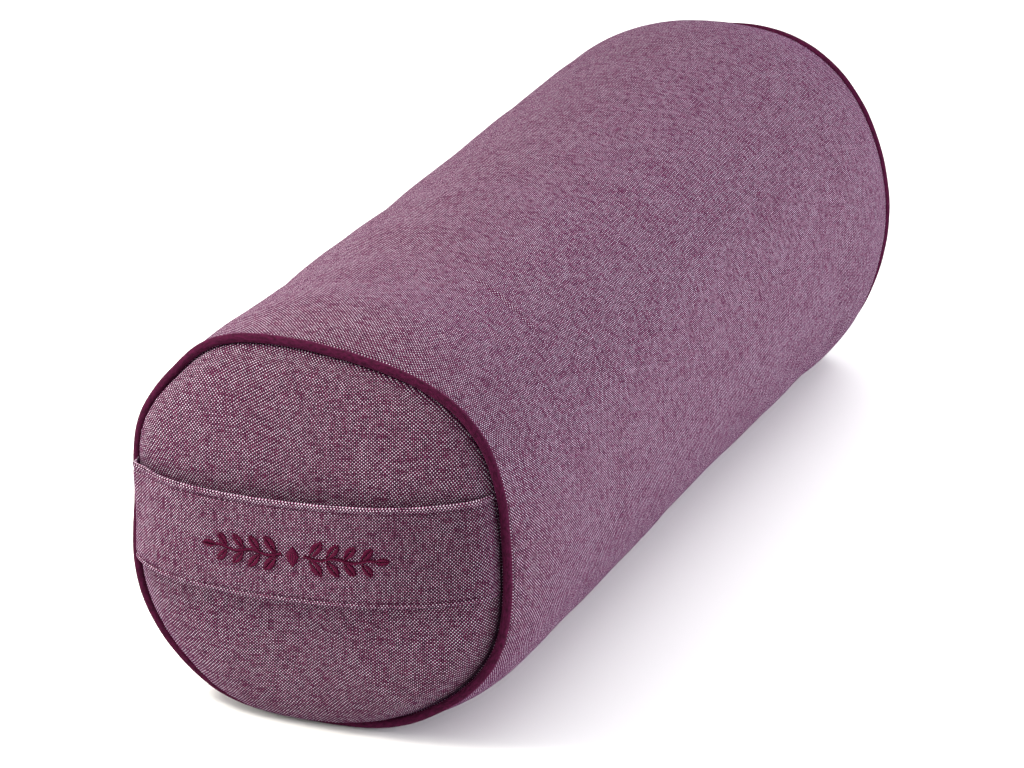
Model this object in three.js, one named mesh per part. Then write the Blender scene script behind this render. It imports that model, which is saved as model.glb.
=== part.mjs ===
// A round yoga bolster lying on its side: a long panel rolled round a firm filling, a crowned
// panel at each end, a piped seam round each end, and a broad carrying band that is sewn across
// the near end. Sizes are in millimetres, +Z is up, the long axis runs along Y and the banded
// end faces -Y. The origin is on the surface it lies on, under the middle of its box.

import * as THREE from 'three';

// Driving dimensions
const panelLength = 600; // from piped seam to piped seam
const pipingRadius = 2.5; // covered cord in each end seam
const clothThickness = 1.6; // end panels
const gap = 0.4; // between pieces that touch
const gapUnderPanel = 0.8; // measured along Y, so that it is a full gap on the steep edge too
const gapUnderBand = 0.5;
const bandWidth = 54.5;
const bandThickness = 2.4; // two layers, folded and topstitched
const bandSlack = 6.5; // how far the middle of the band stands off the end panel
const bandDroop = 5.1; // how far the middle of the band hangs below its sewn ends
const bandHeights = { left: 107.8, right: 117.6 }; // middle of each sewn end above the floor
const bandLeave = { left: 6, right: 2.6 }; // how sharply it leaves its sewn ends, 2 is a round arc
const bandBulge = { height: 2.4, along: -0.965, spread: 0.035 }; // over the piping at the left end
const bandStart = 0.99; // where a sewn end lies, as a share of the end panel's radius

// Outlines across the long axis: a circle with a few soft waves, drawn in by pulls at single
// places. height is the centre above the floor, rounding is how gently the outline turns where the
// weight flattens it, and swell is the distance from the seam within which the long panel reaches
// its full size. Directions are in degrees, from +X towards +Z. Where an end has overhangs, its
// panel hangs out over the piping. Where it has valleys, its panel dips beside the piping, and
// their depth is a share of the crown's height there.
const nearSeam = {
  y: -panelLength / 2,
  outward: -1,
  radius: 108.8,
  height: 105,
  rounding: 11,
  swell: 80,
  waves: [
    { bumps: 1, depth: 1.0, toward: -142 },
    { bumps: 3, depth: 1.8, toward: 16 },
    { bumps: 4, depth: 2.9, toward: 45 },
    { bumps: 5, depth: 1.3, toward: -24 },
    { bumps: 6, depth: 0.8, toward: -27 },
  ],
  pulls: [
    { depth: 4.0, spread: 16, toward: 176 },
    { depth: 2.4, spread: 12, toward: 138 },
    { depth: -1.6, spread: 10, toward: 118 },
  ],
  overhangs: [
    { depth: 7.3, spread: 28, toward: -98 },
    { depth: 3.3, spread: 22, toward: 148 },
  ],
  valleys: [{ depth: 0.86, spread: 52, toward: -26 }],
};
const farSeam = {
  y: panelLength / 2,
  outward: 1,
  radius: 109.6,
  height: 98.5,
  rounding: 11,
  swell: 100,
  waves: [
    { bumps: 2, depth: 3.4, toward: 146 },
    { bumps: 3, depth: 2.7, toward: 55 },
    { bumps: 4, depth: 2.6, toward: 44 },
    { bumps: 5, depth: 1.3, toward: 70 },
  ],
  pulls: [
    { depth: 2.4, spread: 24, toward: -32 },
    { depth: -1.0, spread: 30, toward: 70 },
    { depth: 2.8, spread: 28, toward: 118 },
  ],
  overhangs: [{ depth: 5.0, spread: 30, toward: -88 }],
  valleys: [{ depth: 0.5, spread: 50, toward: 30 }],
};
const middle = {
  radius: 114.5,
  height: 103,
  rounding: 6,
  waves: [
    { bumps: 1, depth: 0.9, toward: 0 },
    { bumps: 2, depth: 1.1, toward: 163 },
    { bumps: 3, depth: 0.5, toward: 86 },
    { bumps: 4, depth: 1.2, toward: 56 },
    { bumps: 5, depth: 0.6, toward: 30 },
  ],
  pulls: [],
};

// Soft ripples that run round the long panel: y is the ridge or hollow, depth is how far it
// stands out or in, and it fades over spread along Y and over arc degrees round the bolster.
const ripples = [
  { y: -258, depth: 2.2, spread: 32, toward: 125, arc: 90 },
  { y: -168, depth: -1.0, spread: 20, toward: 120, arc: 70 },
  { y: -95, depth: -0.5, spread: 26, toward: 125, arc: 60 },
  { y: -38, depth: -1.8, spread: 30, toward: 130, arc: 60 },
  { y: 10, depth: -1.6, spread: 75, toward: -40, arc: 70 },
  { y: 35, depth: -0.9, spread: 40, toward: 130, arc: 50 },
  { y: 205, depth: 0.5, spread: 40, toward: 142, arc: 30 },
  { y: 232, depth: 1.5, spread: 26, toward: -44, arc: 50 },
  { y: 250, depth: 1.2, spread: 45, toward: -30, arc: 90 },
  { y: 280, depth: 2.4, spread: 20, toward: 106, arc: 40 },
];

// The edge of the long panel where it turns in behind the piping: inward is the distance from
// the seam along Y, and rise is measured outward from the middle of the piping.
const turnedEdge = [
  { inward: 0.5, rise: -5.2 },
  { inward: 1.1, rise: -3.4 },
  { inward: 2.4, rise: -2.0 },
  { inward: 3.1, rise: 0.3 },
];
// Further rings of the long panel, by distance from the seam. The last one is the middle.
const panelSteps = [7, 13, 22, 36, 56, 80, 110, 145, 185, 230, 270, 300];

// The crown of an end panel: its height, how early it starts to fall away from the middle, how
// steeply it meets the seam, and how much fuller it is in its lower half.
const crown = { height: 21, shoulder: 2.8, edge: 0.54, belly: 0.1 };
// How far in from the seam an overhang is full, and over what distance it then fades
const overhangShape = { full: 1.5, fade: 14 };
const valleyWidth = 5;
const crownRings = [0.995, 0.99, 0.98, 0.92, 0.82, 0.67, 0.46, 0.23];

const aroundSteps = 64;
const pipingSides = 8;
const bandStepsAlong = 36;
const bandStepsAcross = 5;

const canvasCloth = { color: 0x835a78, roughness: 0.92, metalness: 0 };
const pipingCloth = { color: 0x551a3c, roughness: 0.85, metalness: 0 };

const radians = THREE.MathUtils.degToRad;

// How near two directions are: 1 where they agree, fading to 0 over spread degrees
function towards(angle, toward, spread) {
  const turn = angle - radians(toward);
  const apart = Math.atan2(Math.sin(turn), Math.cos(turn));
  return Math.exp(-((apart / radians(spread)) ** 2));
}

// The sum of the depths of pulls, overhangs or valleys in a direction
function depthOf(places, angle) {
  return places.reduce((sum, at) => sum + at.depth * towards(angle, at.toward, at.spread), 0);
}

function reach(outline, angle) {
  let radius = outline.radius - depthOf(outline.pulls, angle);
  for (const wave of outline.waves) {
    radius += wave.depth * Math.cos(wave.bumps * (angle - radians(wave.toward)));
  }
  return radius;
}

// The height of a point that would lie at height z if the floor gave way
function settle(z, rounding) {
  if (z <= -rounding) return 0;
  if (z >= rounding) return z;
  return (z + rounding) ** 2 / (4 * rounding);
}

const outwardAt = (angle) => new THREE.Vector3(Math.cos(angle), 0, Math.sin(angle));

// A point beside a seam: rise is outward from the middle of the piping, inward is along Y
function besideSeam(seam, angle, rise, inward) {
  const point = outwardAt(angle).multiplyScalar(reach(seam, angle));
  const bottom = pipingRadius + gap / 4;
  point.z = bottom + settle(seam.height + point.z - bottom, seam.rounding);
  point.y = seam.y - seam.outward * inward;
  return point.addScaledVector(outwardAt(angle), rise);
}

function onPanel(y, angle) {
  let radius = reach(middle, angle);
  for (const ripple of ripples) {
    const nearness = Math.exp(-(((y - ripple.y) / ripple.spread) ** 2));
    radius += ripple.depth * nearness * towards(angle, ripple.toward, ripple.arc);
  }
  const point = outwardAt(angle).multiplyScalar(radius);
  point.z = settle(middle.height + point.z, middle.rounding);
  point.y = y;
  return point;
}

// The long panel swells from its seam to its full size
function panelPoint(seam, inward, angle) {
  const short = Math.max(0, 1 - inward / seam.swell) ** 4;
  const full = onPanel(seam.y - seam.outward * inward, angle);
  return full.lerp(besideSeam(seam, angle, 0, inward), short);
}

function crownHeight(seam, share, angle, lowered) {
  const fuller = 1 - crown.belly * share * Math.sin(angle);
  const full = (crown.height - lowered) * (1 - share ** crown.shoulder) ** crown.edge * fuller;
  const inside = (1 - share) * seam.radius;
  return full * (1 - depthOf(seam.valleys, angle) * Math.exp(-((inside / valleyWidth) ** 2)));
}

function overhang(seam, share, angle) {
  const inside = (1 - share) * seam.radius;
  const start = 1 - Math.exp(-((inside / overhangShape.full) ** 2));
  return start * Math.exp(-inside / overhangShape.fade) * depthOf(seam.overhangs, angle);
}

// A point of an end panel's crown, lowered by a thickness and drawn in by as much
function crownPoint(seam, share, angle, lowered) {
  const drawnIn = pipingRadius + gap + lowered;
  const centre = new THREE.Vector3(0, seam.y, seam.height);
  const point = centre.lerp(besideSeam(seam, angle, -drawnIn, 0), share);
  point.y = seam.y + seam.outward * crownHeight(seam, share, angle, lowered);
  return point.addScaledVector(outwardAt(angle), overhang(seam, share, angle));
}

const angleOf = (step) => (2 * Math.PI * step) / aroundSteps;

function ringOf(pointAt) {
  return Array.from({ length: aroundSteps }, (_, step) => pointAt(angleOf(step)));
}

// A closed body over rings of equal length. Its first and last rings are filled in from a middle
// point, or joined to each other where the body closes on itself.
function skinOver(rings, closesOnItself = false) {
  const size = rings[0].length;
  const points = rings.flat();
  const index = [];
  const count = closesOnItself ? rings.length : rings.length - 1;
  for (let row = 0; row < count; row += 1) {
    const next = (row + 1) % rings.length;
    for (let step = 0; step < size; step += 1) {
      const after = (step + 1) % size;
      const [a, b] = [row * size + step, row * size + after];
      const [c, d] = [next * size + after, next * size + step];
      index.push(a, c, b, a, d, c);
    }
  }
  if (!closesOnItself) {
    const last = (rings.length - 1) * size;
    const middleOf = (ring) =>
      ring.reduce((sum, point) => sum.add(point), new THREE.Vector3()).divideScalar(size);
    points.push(middleOf(rings[0]), middleOf(rings[rings.length - 1]));
    for (let step = 0; step < size; step += 1) {
      const after = (step + 1) % size;
      index.push(points.length - 2, step, after);
      index.push(points.length - 1, last + after, last + step);
    }
  }
  const geometry = new THREE.BufferGeometry().setFromPoints(points);
  geometry.setIndex(index);
  geometry.computeVertexNormals();
  return geometry;
}

function piece(name, geometry, cloth) {
  const mesh = new THREE.Mesh(geometry, new THREE.MeshStandardMaterial(cloth));
  mesh.name = name;
  return mesh;
}

// The long panel with its filling, whose ends are crowned under the end panels
function filledBody() {
  const depth = clothThickness + gapUnderPanel;
  const domeOf = (seam) =>
    crownRings.map((share) => ringOf((angle) => crownPoint(seam, share, angle, depth)));
  const edgeOf = (seam) =>
    turnedEdge.map((at) => ringOf((angle) => besideSeam(seam, angle, at.rise, at.inward)));
  const panelOf = (seam) =>
    panelSteps.map((inward) => ringOf((angle) => panelPoint(seam, inward, angle)));
  const nearHalf = [...domeOf(nearSeam).reverse(), ...edgeOf(nearSeam), ...panelOf(nearSeam)];
  const farHalf = [...domeOf(farSeam).reverse(), ...edgeOf(farSeam), ...panelOf(farSeam)];
  farHalf.pop();
  return skinOver([...nearHalf, ...farHalf.reverse()]);
}

// An end panel: one layer of cloth over the crown, with its edge in the seam
function endPanel(seam) {
  const face = (lowered) =>
    [1, ...crownRings].map((share) => ringOf((angle) => crownPoint(seam, share, angle, lowered)));
  const rings = [...face(0).reverse(), ...face(clothThickness)];
  return skinOver(seam.outward < 0 ? rings : rings.reverse());
}

function piping(seam) {
  const rings = Array.from({ length: pipingSides }, (_, side) => {
    const turn = (2 * Math.PI * side) / pipingSides;
    const rise = pipingRadius * Math.cos(turn);
    const inward = -pipingRadius * Math.sin(turn) * seam.outward;
    return ringOf((angle) => besideSeam(seam, angle, rise, inward));
  });
  return skinOver(rings, true);
}

// The near end panel at a place across the end: its share of the radius and its crown's height
function nearPanelAt(x, z) {
  const above = z - nearSeam.height;
  const angle = Math.atan2(above, x);
  const edge = reach(nearSeam, angle) - pipingRadius - gap;
  const share = Math.hypot(x, above) / edge;
  return { share, edge, height: crownHeight(nearSeam, Math.min(share, 1), angle, 0) };
}

// How far sideways the near end panel reaches, at a height, up to the place of the sewn ends
function sewnEnd(z, side) {
  let x = side * nearSeam.radius;
  for (let pass = 0; pass < 6; pass += 1) {
    const reachAcross = bandStart * nearPanelAt(x, z).edge;
    x = side * Math.sqrt(reachAcross ** 2 - (z - nearSeam.height) ** 2);
  }
  return x;
}

// A point of the band: along runs from -1 at the left end to 1 at the right, across from -1 at
// the lower edge to 1 at the upper, and off is the distance from the face next to the panel.
function bandPoint(along, across, off) {
  const middleHeight = THREE.MathUtils.lerp(bandHeights.left, bandHeights.right, (along + 1) / 2);
  const slackHere = 1 - Math.abs(along) ** (along < 0 ? bandLeave.left : bandLeave.right);
  const bulgeHere = Math.exp(-(((along - bandBulge.along) / bandBulge.spread) ** 2));
  const upper = (1 + Math.sin((Math.PI / 2) * across)) / 2;
  const z = middleHeight + (across * bandWidth) / 2 - bandDroop * (1 - along ** 2);
  const x = Math.abs(along) * sewnEnd(z, Math.sign(along) || 1);
  const step = 0.05;
  const drop = nearPanelAt(x - step, z).height - nearPanelAt(x + step, z).height;
  const normal = new THREE.Vector3(drop, -2 * step, 0).normalize();
  const point = new THREE.Vector3(x, nearSeam.y - nearPanelAt(x, z).height, z);
  const lift = bandSlack * slackHere + bandBulge.height * bulgeHere * upper;
  return point.addScaledVector(normal, gapUnderBand + lift + off);
}

function handleBand() {
  const rings = [];
  for (let step = 0; step <= bandStepsAlong; step += 1) {
    const along = Math.sin((Math.PI / 2) * (-1 + (2 * step) / bandStepsAlong));
    const ring = [];
    for (let row = 0; row <= bandStepsAcross; row += 1) {
      ring.push(bandPoint(along, -1 + (2 * row) / bandStepsAcross, bandThickness));
    }
    for (let row = bandStepsAcross; row >= 0; row -= 1) {
      ring.push(bandPoint(along, -1 + (2 * row) / bandStepsAcross, 0));
    }
    rings.push(ring);
  }
  return skinOver(rings);
}

const bolster = new THREE.Group();
bolster.add(piece('filled_body', filledBody(), canvasCloth));
bolster.add(piece('near_cap', endPanel(nearSeam), canvasCloth));
bolster.add(piece('far_cap', endPanel(farSeam), canvasCloth));
bolster.add(piece('near_piping', piping(nearSeam), pipingCloth));
bolster.add(piece('far_piping', piping(farSeam), pipingCloth));
bolster.add(piece('handle_band', handleBand(), canvasCloth));

// The band makes the near end longer, so the whole is set back over the middle of its box
const box = new THREE.Box3().setFromObject(bolster);
const centre = box.getCenter(new THREE.Vector3());
bolster.position.set(-centre.x, -centre.y, 0);
bolster.updateMatrixWorld(true);

export default bolster;
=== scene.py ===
"""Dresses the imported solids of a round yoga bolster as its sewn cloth.

The long panel, the end panels, the piping and the carrying band follow the shapes of the
solids. They get the fine form that the solids leave out: gathers beside the seams, creases,
rolled and topstitched edges, and embroidery. Lengths are worked out in mm and the meshes are in
metres, in the frame of the solids.
"""

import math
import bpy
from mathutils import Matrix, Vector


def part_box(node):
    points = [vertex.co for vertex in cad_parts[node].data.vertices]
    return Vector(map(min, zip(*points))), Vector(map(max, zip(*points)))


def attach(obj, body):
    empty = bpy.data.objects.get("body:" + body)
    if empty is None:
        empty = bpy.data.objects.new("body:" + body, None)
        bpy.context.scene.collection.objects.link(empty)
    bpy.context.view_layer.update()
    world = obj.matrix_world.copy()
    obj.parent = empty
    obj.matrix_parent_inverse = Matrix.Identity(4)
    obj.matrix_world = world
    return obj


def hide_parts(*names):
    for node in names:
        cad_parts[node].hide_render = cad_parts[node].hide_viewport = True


bl_info = {
    "name": "Yoga bolster",
    "version": (1, 0, 0),
    "blender": (4, 5, 0),
    "location": "3D View > Sidebar > Bolster",
    "description": "Round yoga bolster in heathered canvas with piping and a carrying band",
    "category": "Object",
}

from dataclasses import dataclass
from functools import cache

import bpy
import numpy as np
from bpy.props import FloatProperty, FloatVectorProperty, IntProperty, PointerProperty
from bpy.types import Operator, Panel, PropertyGroup
from mathutils import Vector

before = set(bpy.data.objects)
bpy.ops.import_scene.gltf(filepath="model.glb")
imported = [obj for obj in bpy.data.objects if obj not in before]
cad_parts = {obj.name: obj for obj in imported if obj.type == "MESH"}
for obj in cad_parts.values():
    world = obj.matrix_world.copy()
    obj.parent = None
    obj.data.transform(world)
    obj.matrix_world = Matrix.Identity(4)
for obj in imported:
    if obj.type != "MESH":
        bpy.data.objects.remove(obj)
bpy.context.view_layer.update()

BODY = "root"
MM = 0.001


# Shapes of the seams and of the long panel


@dataclass(frozen=True)
class Wave:
    """Soft bumps round an outline; depth in mm, toward in degrees."""

    bumps: int
    depth: float
    toward: float


@dataclass(frozen=True)
class Pull:
    """A place that is drawn in, or hangs out, by depth mm; spread and toward in degrees."""

    depth: float
    spread: float
    toward: float


@dataclass(frozen=True)
class Outline:
    """An outline across the long axis, in mm.

    Where an end has overhangs, its panel hangs out over the piping. Where it has valleys, its
    panel dips beside the piping, by a share of the crown's height there.
    """

    y: float
    outward: int
    radius: float
    height: float
    rounding: float
    swell: float
    waves: tuple
    pulls: tuple = ()
    overhangs: tuple = ()
    valleys: tuple = ()


HALF_LENGTH = 300.0
GAP = 0.4
GAP_UNDER_PANEL = 0.8
BAND_GAP = 0.5

NEAR_SEAM = Outline(
    y=-HALF_LENGTH,
    outward=-1,
    radius=108.8,
    height=105.0,
    rounding=11.0,
    swell=80.0,
    waves=(
        *(Wave(1, 1.0, -142), Wave(3, 1.8, 16), Wave(4, 2.9, 45)),
        *(Wave(5, 1.3, -24), Wave(6, 0.8, -27)),
    ),
    pulls=(Pull(4.0, 16, 176), Pull(2.4, 12, 138), Pull(-1.6, 10, 118)),
    overhangs=(Pull(7.3, 28, -98), Pull(3.3, 22, 148)),
    valleys=(Pull(0.86, 52, -26),),
)
FAR_SEAM = Outline(
    y=HALF_LENGTH,
    outward=1,
    radius=109.6,
    height=98.5,
    rounding=11.0,
    swell=100.0,
    waves=(Wave(2, 3.4, 146), Wave(3, 2.7, 55), Wave(4, 2.6, 44), Wave(5, 1.3, 70)),
    pulls=(Pull(2.4, 24, -32), Pull(-1.0, 30, 70), Pull(2.8, 28, 118)),
    overhangs=(Pull(5.0, 30, -88),),
    valleys=(Pull(0.5, 50, 30),),
)
MIDDLE = Outline(
    y=0.0,
    outward=1,
    radius=114.5,
    height=103.0,
    rounding=6.0,
    swell=1.0,
    waves=(
        *(Wave(1, 0.9, 0), Wave(2, 1.1, 163), Wave(3, 0.5, 86)),
        *(Wave(4, 1.2, 56), Wave(5, 0.6, 30)),
    ),
)

# Soft ripples round the long panel: place along Y, depth, spread along Y (mm), direction and
# spread round the bolster (degrees)
RIPPLES = (
    (-258, 2.2, 32, 125, 90),
    (-168, -1.0, 20, 120, 70),
    (-95, -0.5, 26, 125, 60),
    (-38, -1.8, 30, 130, 60),
    (10, -1.6, 75, -40, 70),
    (35, -0.9, 40, 130, 50),
    (205, 0.5, 40, 142, 30),
    (232, 1.5, 26, -44, 50),
    (250, 1.2, 45, -30, 90),
    (280, 2.4, 20, 106, 40),
)

# Narrow creases across the long panel: place along Y, slant along Y over the crease's arc,
# depth, width (mm), direction and spread (degrees)
CREASES = (
    (-188, 7, 0.9, 1.8, 60, 15),
    (-226, -6, 0.30, 4.0, 42, 26),
    (-120, 5, 0.28, 5.0, 78, 30),
    (-52, -8, 0.30, 5.5, 96, 30),
    (96, 6, 0.26, 6.0, 70, 34),
    (205, -5, 0.30, 5.0, 52, 28),
)

# How far from the floor the long panel and the piping get their unevenness, in mm
LYING = (3.0, 22.0)
PIPING_LYING = (4.0, 20.0)

# The crown of an end panel: lengths in mm, powers of its profile, and its share of belly
CROWN_HEIGHT = 21.0
CROWN_SHOULDER = 2.8
CROWN_EDGE = 0.54
CROWN_BELLY = 0.1
OVERHANG_FULL = 1.5
OVERHANG_FADE = 14.0
VALLEY_WIDTH = 5.0

# The band's way across the end: lengths in mm, places as a share of the way to a sewn end
BAND_START = 0.99
BAND_LEAVE_LEFT = 6
BAND_LEAVE_RIGHT = 2.6
BAND_BULGE = 2.4
BAND_BULGE_ALONG = -0.965
BAND_BULGE_SPREAD = 0.035
BAND_REACH = 104.0


def in_mm(name):
    """A size that a user may change, in mm."""
    return getattr(bpy.context.scene.bolster_sizes, name) / MM


def hump(place, at, width):
    """1 at a place, fading to 0 over about a width on both sides."""
    return np.exp(-(((place - at) / width) ** 2))


def towards(angle, toward, spread):
    """1 in the direction toward, fading to 0 over spread degrees."""
    apart = np.angle(np.exp(1j * (angle - np.radians(toward))))
    return hump(apart, 0, np.radians(spread))


def above_floor(z, lying):
    """0 where the cloth lies on the floor, rising to 1 above it."""
    start, rise = lying
    return np.clip((z - start) / rise, 0, 1)


def depth_of(places, angle):
    """The sum of the depths of pulls, overhangs or valleys in a direction."""
    return sum((at.depth * towards(angle, at.toward, at.spread) for at in places), 0.0)


def reach(outline, angle):
    radius = outline.radius - depth_of(outline.pulls, angle)
    for wave in outline.waves:
        radius = radius + wave.depth * np.cos(wave.bumps * (angle - np.radians(wave.toward)))
    return radius


def settle(z, rounding):
    """The height of a point that would lie at height z if the floor gave way."""
    turning = (z + rounding) ** 2 / (4 * rounding)
    return np.where(z <= -rounding, 0.0, np.where(z >= rounding, z, turning))


def outward_at(angle):
    return np.stack([np.cos(angle), np.zeros_like(angle), np.sin(angle)], -1)


def beside_seam(seam, angle, rise, inward):
    """Points beside a seam: rise is outward from the middle of the piping, inward along Y."""
    angle, rise, inward = np.broadcast_arrays(angle, rise, inward)
    point = outward_at(angle) * reach(seam, angle)[..., None]
    bottom = in_mm("piping_radius") + GAP / 4
    point[..., 2] = bottom + settle(seam.height + point[..., 2] - bottom, seam.rounding)
    point[..., 1] = seam.y - seam.outward * inward
    return point + outward_at(angle) * np.asarray(rise)[..., None]


def on_panel(y, angle):
    """Points of the long panel at its full size."""
    y, angle = np.broadcast_arrays(y, angle)
    radius = reach(MIDDLE, angle)
    for place, depth, spread, toward, arc in RIPPLES:
        radius = radius + depth * hump(y, place, spread) * towards(angle, toward, arc)
    point = outward_at(angle) * radius[..., None]
    point[..., 2] = settle(MIDDLE.height + point[..., 2], MIDDLE.rounding)
    point[..., 1] = y
    return point


def panel_point(seam, inward, angle):
    """The long panel swells from its seam to its full size."""
    inward, angle = np.broadcast_arrays(inward, angle)
    short = (np.maximum(0, 1 - inward / seam.swell) ** 4)[..., None]
    full = on_panel(seam.y - seam.outward * inward, angle)
    return full * (1 - short) + beside_seam(seam, angle, 0, inward) * short


def crown_height(seam, share, angle, lowered):
    fuller = 1 - CROWN_BELLY * share * np.sin(angle)
    steep = np.maximum(0, 1 - share**CROWN_SHOULDER) ** CROWN_EDGE
    inside = (1 - share) * seam.radius
    dip = depth_of(seam.valleys, angle) * hump(inside, 0, VALLEY_WIDTH)
    return (CROWN_HEIGHT - lowered) * steep * fuller * (1 - dip)


def overhang(seam, share, angle):
    inside = (1 - share) * seam.radius
    start = 1 - hump(inside, 0, OVERHANG_FULL)
    return start * np.exp(-inside / OVERHANG_FADE) * depth_of(seam.overhangs, angle)


def crown_point(seam, share, angle, lowered):
    """Points of an end panel's crown, lowered by a thickness and drawn in by as much."""
    share, angle = np.broadcast_arrays(share, angle)
    drawn_in = in_mm("piping_radius") + GAP + lowered
    centre = np.array([0, seam.y, seam.height])
    edge = beside_seam(seam, angle, -drawn_in, 0)
    point = centre + (edge - centre) * share[..., None]
    point[..., 1] = seam.y + seam.outward * crown_height(seam, share, angle, lowered)
    return point + outward_at(angle) * overhang(seam, share, angle)[..., None]


def near_panel_at(x, z):
    """The near end panel at places across the end: its edge and its crown's height."""
    above = z - NEAR_SEAM.height
    angle = np.arctan2(above, x)
    edge = reach(NEAR_SEAM, angle) - in_mm("piping_radius") - GAP
    share = np.hypot(x, above) / edge
    return edge, crown_height(NEAR_SEAM, np.minimum(share, 1), angle, 0)


def sewn_end(z, side):
    """How far sideways the near end panel reaches at a height, up to the sewn ends."""
    x = side * NEAR_SEAM.radius
    for _ in range(6):
        across = BAND_START * near_panel_at(x, z)[0]
        x = side * np.sqrt(across**2 - (z - NEAR_SEAM.height) ** 2)
    return x


def band_frame(along, across):
    """Points of the end panel under the band, and the panel's outward direction there."""
    along, across = np.broadcast_arrays(along, across)
    left, right = in_mm("band_left"), in_mm("band_right")
    middle = left + (right - left) * (along + 1) / 2
    z = middle + across * in_mm("band_width") / 2 - in_mm("band_droop") * (1 - along**2)
    side = np.where(along < 0, -1.0, 1.0)
    x = np.abs(along) * sewn_end(z, side)
    step = 0.05
    drop = near_panel_at(x - step, z)[1] - near_panel_at(x + step, z)[1]
    normal = np.stack([drop, np.full_like(drop, -2 * step), np.zeros_like(drop)], -1)
    normal /= np.linalg.norm(normal, axis=-1, keepdims=True)
    point = np.stack([x, NEAR_SEAM.y - near_panel_at(x, z)[1], z], -1)
    return point, normal


def band_point(along, across, off):
    """Points of the band: off is the distance from the face that lies next to the panel."""
    along, across, off = np.broadcast_arrays(along, across, off)
    leave = np.where(along < 0, BAND_LEAVE_LEFT, BAND_LEAVE_RIGHT)
    slack = in_mm("band_slack") * (1 - np.abs(along) ** leave)
    bulge = BAND_BULGE * hump(along, BAND_BULGE_ALONG, BAND_BULGE_SPREAD)
    upper = (1 + np.sin(np.pi / 2 * across)) / 2
    point, normal = band_frame(along, across)
    return point + normal * (BAND_GAP + slack + bulge * upper + off)[..., None]


@cache
def in_frame():
    """The solids are set back over the middle of their box; this is that shift, in metres."""
    low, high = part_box("near_piping")
    angle = np.radians(np.arange(0, 360, 360 / 64))
    turn = np.radians(np.arange(0, 360, 45))[:, None]
    thick = in_mm("piping_radius")
    ring = beside_seam(NEAR_SEAM, angle, thick * np.cos(turn), thick * np.sin(turn))
    ring = ring.reshape(-1, 3) * MM
    middle = (ring.min(0) + ring.max(0)) / 2
    return np.array([(a + b) / 2 for a, b in zip(low, high)]) - middle


# Uneven cloth


def scattered(corner, kind):
    """An even scatter from -1 to 1 over the corners of a grid, different for each kind."""
    mixed = np.sin(corner @ np.array([127.1, 311.7, 74.7]) + 53.3 * kind) * 43758.5453
    return 2 * (mixed - np.floor(mixed)) - 1


def unevenness(points, size, seed=0.0):
    """Smooth noise from about -1 to 1 at points, with lumps of about the given size."""
    place = np.asarray(points, float) / size + seed
    cell = np.floor(place)
    part = place - cell
    ease = part**3 * (part * (part * 6 - 15) + 10)
    total = np.zeros(place.shape[:-1])
    for corner in np.ndindex(2, 2, 2):
        weight = np.prod(np.where(corner, ease, 1 - ease), axis=-1)
        for axis in range(3):
            slope = scattered(cell + corner, axis)
            total += weight * slope * (part[..., axis] - corner[axis])
    return total


def round_places(angle, y, width, length, radius=110.0):
    """Places for noise that is drawn out along Y and runs on round the bolster."""
    angle, y = np.broadcast_arrays(angle, y)
    return np.stack(
        [np.cos(angle) * radius / width, np.sin(angle) * radius / width, y / length], -1
    )


def lumps(points, kinds):
    """Unevenness of several kinds together, each with its depth, size and seed."""
    return sum(depth * unevenness(points, size, seed) for depth, size, seed in kinds)


# Tucks that a seam draws into the cloth: depth, width, length and fade away from the seam in
# mm, and seed
TUCKS = ((1.0, 7.5, 26.0, 20.0, 0.0), (0.4, 7.5 * 0.45, 12.0, 9.0, 9.1))
TUCK_DEPTH = 0.75


def gathers(seam, angle, inward):
    near = 1 - np.exp(-np.maximum(inward - 2.5, 0) / 4.0)
    total = 0.0
    for depth, width, length, fade, seed in TUCKS:
        places = round_places(angle, inward, width, length)
        uneven = unevenness(places, 1.0, 3.0 + seam.outward + seed)
        total = total + depth * uneven * near * np.exp(-inward / fade)
    return TUCK_DEPTH * total


# Meshes


def made_mesh(name, points, faces, maps):
    mesh = bpy.data.meshes.new(name)
    mesh.from_pydata(points, [], faces)
    for key, corners in maps.items():
        layer = mesh.uv_layers.new(name=key)
        layer.data.foreach_set("uv", np.ascontiguousarray(corners, np.float32).ravel())
    mesh.polygons.foreach_set("use_smooth", [True] * len(mesh.polygons))
    mesh.validate()
    mesh.update()
    return placed(name, mesh)


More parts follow.
